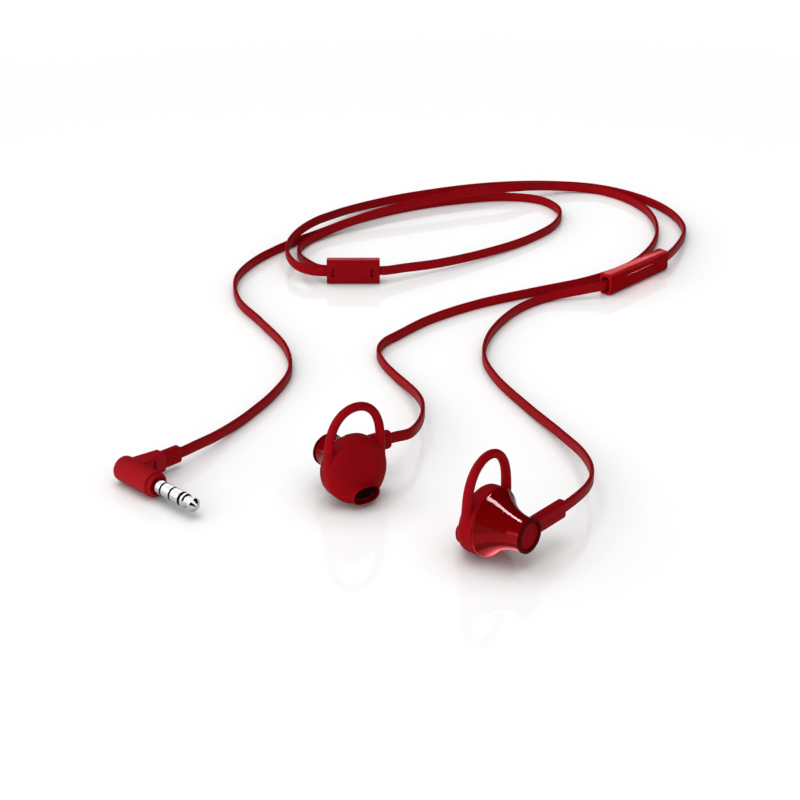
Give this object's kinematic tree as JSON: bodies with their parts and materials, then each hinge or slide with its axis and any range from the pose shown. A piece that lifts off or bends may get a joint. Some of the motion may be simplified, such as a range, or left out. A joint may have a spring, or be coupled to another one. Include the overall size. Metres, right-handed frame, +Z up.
{
  "type": "wired earphones",
  "caption": "In-ear headset with soft ear loops, flat cable, inline remote with a press button, Y-splitter and angled 3.5 mm four-pole plug.",
  "frame": {"origin": "on the floor, under the middle of the box round the two earpieces", "axes": "+Z up, +Y away from the viewer to the splitter and the remote, +X to the viewer's right"},
  "size_m": [0.1572, 0.2577, 0.0247],
  "materials": {
    "silicone": "matte silicone, soft sheen",
    "gloss_red": "high gloss",
    "satin_red": "satin moulded plastic",
    "matte_red": "matte moulded plastic",
    "dark_ring": "gloss, near black red",
    "soft_relief": "satin elastomer",
    "cable_red": "satin elastomer jacket",
    "dark_rubber": "matte",
    "chrome_pin": "polished plating",
    "black_plastic": "matte",
    "steel": "plain",
    "steel_mesh": "woven mesh look",
    "copper": "enamelled wire",
    "clear_film": "thin polymer film",
    "board": "solder mask"
  },
  "bodies": {
    "earphones": {"left_ear_tip": "silicone", "left_ear_loop": "silicone", "left_front_housing": "gloss_red", "left_nozzle_mesh": "steel_mesh", "left_driver_frame": "black_plastic", "left_diaphragm": "clear_film", "left_voice_coil": "copper", "left_pole_plate": "steel", "left_magnet": "steel", "left_yoke": "steel", "left_driver_board": "board", "left_rear_housing": "gloss_red", "left_cap_ring": "dark_ring", "left_end_cap": "matte_red", "left_strain_relief": "soft_relief", "right_ear_tip": "silicone", "right_ear_loop": "silicone", "right_front_housing": "gloss_red", "right_nozzle_mesh": "steel_mesh", "right_driver_frame": "black_plastic", "right_diaphragm": "clear_film", "right_voice_coil": "copper", "right_pole_plate": "steel", "right_magnet": "steel", "right_yoke": "steel", "right_driver_board": "board", "right_rear_housing": "gloss_red", "right_cap_ring": "dark_ring", "right_end_cap": "matte_red", "right_strain_relief": "soft_relief", "remote_front_shell": "satin_red", "remote_rear_shell": "satin_red", "remote_board": "board", "dome_switch": "steel", "microphone": "steel", "remote_lower_bush": "dark_rubber", "remote_upper_bush": "dark_rubber", "splitter_body": "satin_red", "splitter_core": "black_plastic", "plug_body": "satin_red", "plug_strain_relief": "soft_relief", "plug_tip": "chrome_pin", "plug_front_ring": "chrome_pin", "plug_rear_ring": "chrome_pin", "plug_sleeve": "chrome_pin", "plug_insulator": "black_plastic", "main_cable": "cable_red", "left_cable": "cable_red", "right_upper_cable": "cable_red", "right_lower_cable": "cable_red"},
    "button": {"remote_button": "satin_red"}
  },
  "joints": [
    {"name": "remote_button_press", "type": "slide", "parent": "earphones", "child": "button", "axis": [-0.7385, 0.6743, 0], "range_m": [0, 0.00035], "stiffness_N_per_m": 1500}
  ]
}
